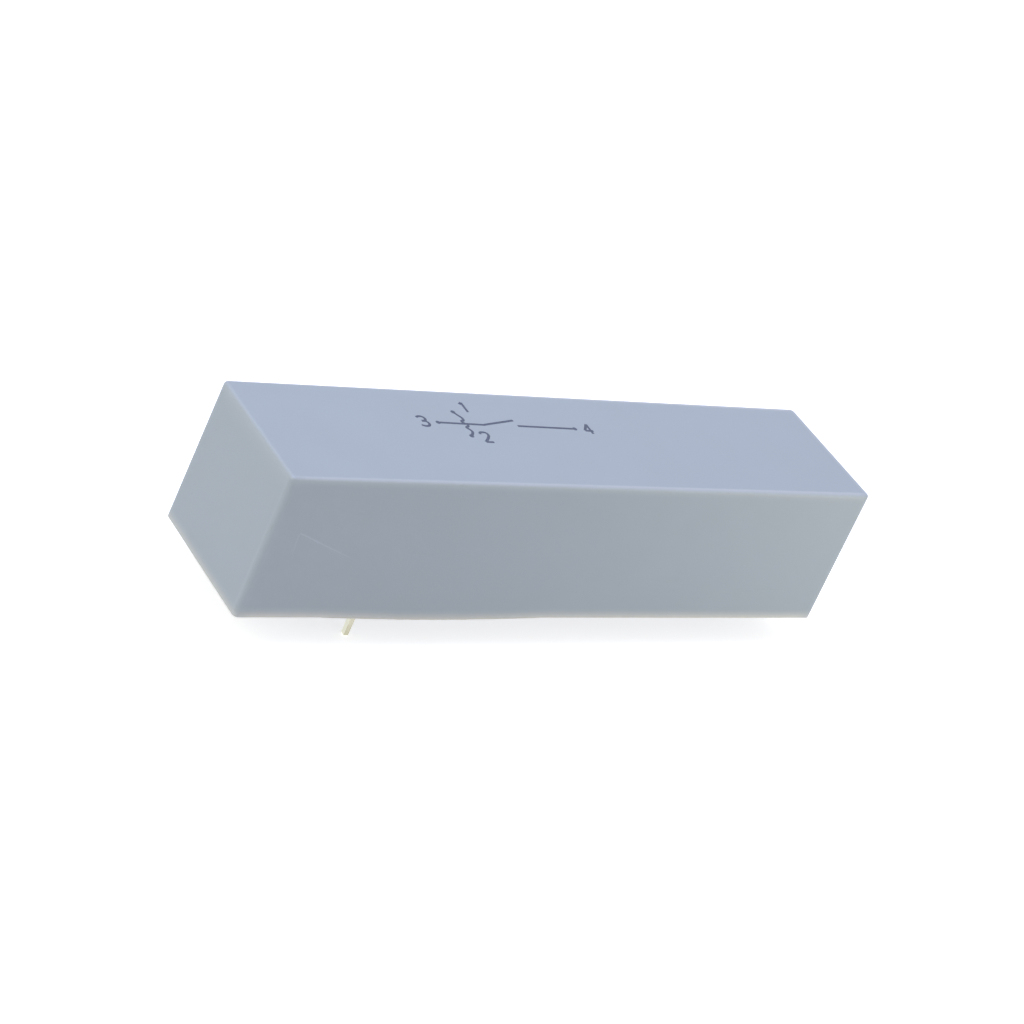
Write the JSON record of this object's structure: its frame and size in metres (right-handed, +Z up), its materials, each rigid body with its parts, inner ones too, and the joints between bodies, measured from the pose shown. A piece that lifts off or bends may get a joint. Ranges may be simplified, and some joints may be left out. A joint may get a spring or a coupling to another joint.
{
  "type": "reed relay",
  "caption": "Long potted plastic block on square wire terminals; inside, a coil surrounds a sealed glass capsule whose two overlapping reed blades bend together to make contact.",
  "frame": {"origin": "centre of the bounding box at its base, on the plane of the terminal tips", "axes": "+X along the block, away from the coil terminals; +Y across it, from front to back; +Z up, out of the printed roof"},
  "size_m": [0.066, 0.0148, 0.0184],
  "materials": {
    "case_plastic": "pale blue-grey moulded thermoplastic, fine satin",
    "casting_resin": "poured epoxy resin, self-levelled",
    "former_plastic": "black glass-filled moulding",
    "copper_wire": "enamelled copper",
    "coil_tape": "amber polyester film",
    "tinned_wire": "square wire, tinned",
    "solder": "tin solder",
    "envelope_glass": "greenish infra-red absorbing tube glass",
    "bush_silicone": "silicone rubber",
    "reed_alloy": "plated nickel-iron",
    "contact_metal": "hard white contact plating"
  },
  "bodies": {
    "root": {"case": "case_plastic", "potting_resin": "casting_resin", "coil_former": "former_plastic", "coil_winding": "copper_wire", "coil_tape": "coil_tape", "coil_lead_front": "copper_wire", "coil_lead_back": "copper_wire", "coil_terminal_front": "tinned_wire", "coil_terminal_back": "tinned_wire", "coil_solder_front": "solder", "coil_solder_back": "solder", "contact_terminal_left": "tinned_wire", "contact_terminal_right": "tinned_wire", "contact_solder_left": "solder", "contact_solder_right": "solder", "capsule_glass": "envelope_glass", "capsule_bush_left": "bush_silicone", "capsule_bush_right": "bush_silicone", "reed_stem_left": "reed_alloy", "reed_stem_right": "reed_alloy"},
    "left_blade": {"reed_blade_left": "reed_alloy", "contact_plate_left": "contact_metal"},
    "right_blade": {"reed_blade_right": "reed_alloy", "contact_plate_right": "contact_metal"}
  },
  "joints": [
    {"name": "left_blade_flex", "type": "hinge", "parent": "root", "child": "left_blade", "pos_m": [-0.01949, 0, 0.01057], "axis": [0, -1, 0], "range_deg": [0, 0.573], "stiffness_Nm_per_rad": 0.376},
    {"name": "right_blade_flex", "type": "hinge", "parent": "root", "child": "right_blade", "pos_m": [0.01949, 0, 0.01162], "axis": [0, -1, 0], "range_deg": [0, 0.573], "stiffness_Nm_per_rad": 0.376}
  ],
  "couplings": [
    {"joint": "right_blade_flex", "follows": "left_blade_flex", "ratio": 1}
  ]
}
